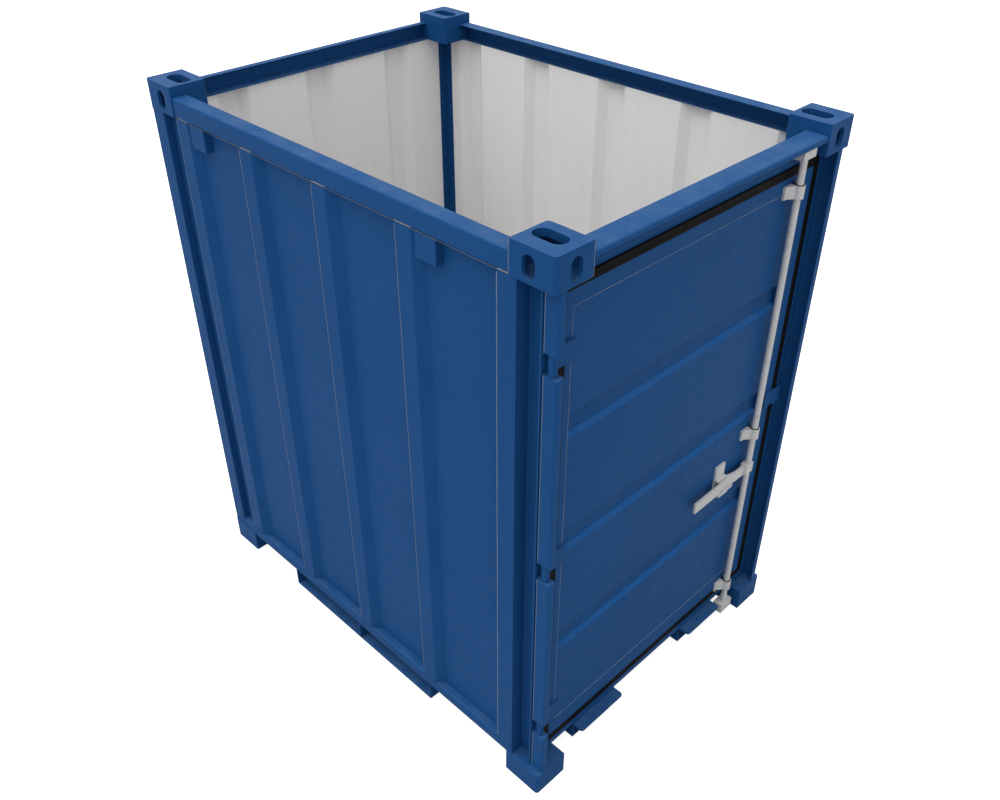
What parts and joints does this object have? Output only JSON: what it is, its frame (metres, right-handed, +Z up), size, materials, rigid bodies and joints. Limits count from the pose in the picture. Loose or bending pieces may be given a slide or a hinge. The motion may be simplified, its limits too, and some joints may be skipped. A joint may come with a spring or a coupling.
{
  "type": "shipping container",
  "caption": "Small steel storage container with an open top, corrugated walls, corner castings, fork pockets and a single hinged end door held by a turning lock bar.",
  "frame": {"origin": "middle of the base, on the plane of the corner castings' feet", "axes": "+X to the door end, +Y to the lock side, +Z up"},
  "size_m": [2.2, 1.6, 2.438],
  "materials": {
    "blue_paint": "satin",
    "zinc": "dull",
    "pin_steel": "satin",
    "gasket": "matt",
    "plywood": "varnished",
    "white_paint": "satin"
  },
  "bodies": {
    "frame": {"bottom_casting_door_left": "blue_paint", "bottom_casting_door_right": "blue_paint", "bottom_casting_rear_left": "blue_paint", "bottom_casting_rear_right": "blue_paint", "cross_members": "blue_paint", "floor_board": "plywood", "fork_pocket_plate": "blue_paint", "front_fork_pocket_left": "blue_paint", "front_fork_pocket_right": "blue_paint", "front_lip_plates": "blue_paint", "front_pocket_web": "blue_paint", "front_sill": "blue_paint", "header": "blue_paint", "hinge_pins": "pin_steel", "hinge_post": "blue_paint", "hinge_post_tubes": "blue_paint", "left_base_rail": "blue_paint", "left_top_rail": "blue_paint", "left_vent_covers": "blue_paint", "left_wall": "blue_paint", "lock_post": "blue_paint", "middle_pocket_web": "blue_paint", "rear_fork_pocket_left": "blue_paint", "rear_fork_pocket_right": "blue_paint", "rear_lip_plates": "blue_paint", "rear_pocket_web": "blue_paint", "rear_post_left": "blue_paint", "rear_post_right": "blue_paint", "rear_sill": "blue_paint", "rear_top_rail": "blue_paint", "rear_wall": "blue_paint", "right_base_rail": "blue_paint", "right_top_rail": "blue_paint", "right_vent_covers": "blue_paint", "right_wall": "blue_paint", "top_casting_door_left": "blue_paint", "top_casting_door_right": "blue_paint", "top_casting_rear_left": "blue_paint", "top_casting_rear_right": "blue_paint"},
    "door": {"door_bottom_rail": "blue_paint", "door_gasket": "gasket", "door_left_stile": "blue_paint", "door_panel": "blue_paint", "door_right_stile": "blue_paint", "door_stop_plate": "blue_paint", "door_top_rail": "blue_paint", "handle_catch": "zinc", "lock_brackets": "zinc", "lower_hinge_blade": "blue_paint", "middle_hinge_blade": "blue_paint", "upper_hinge_blade": "blue_paint"},
    "lock_bar": {"lock_hub": "zinc", "lock_lever": "zinc", "lock_rod": "zinc", "lower_cam": "zinc", "upper_cam": "zinc"}
  },
  "joints": [
    {"name": "door_swing", "type": "hinge", "parent": "frame", "child": "door", "pos_m": [1.065, -0.755, 1.213], "axis": [0, 0, -1], "range_deg": [0, 240]},
    {"name": "lock_bar_turn", "type": "hinge", "parent": "door", "child": "lock_bar", "pos_m": [1.068, 0.539, 0.94], "axis": [0, 0, 1], "range_deg": [0, 100]}
  ]
}
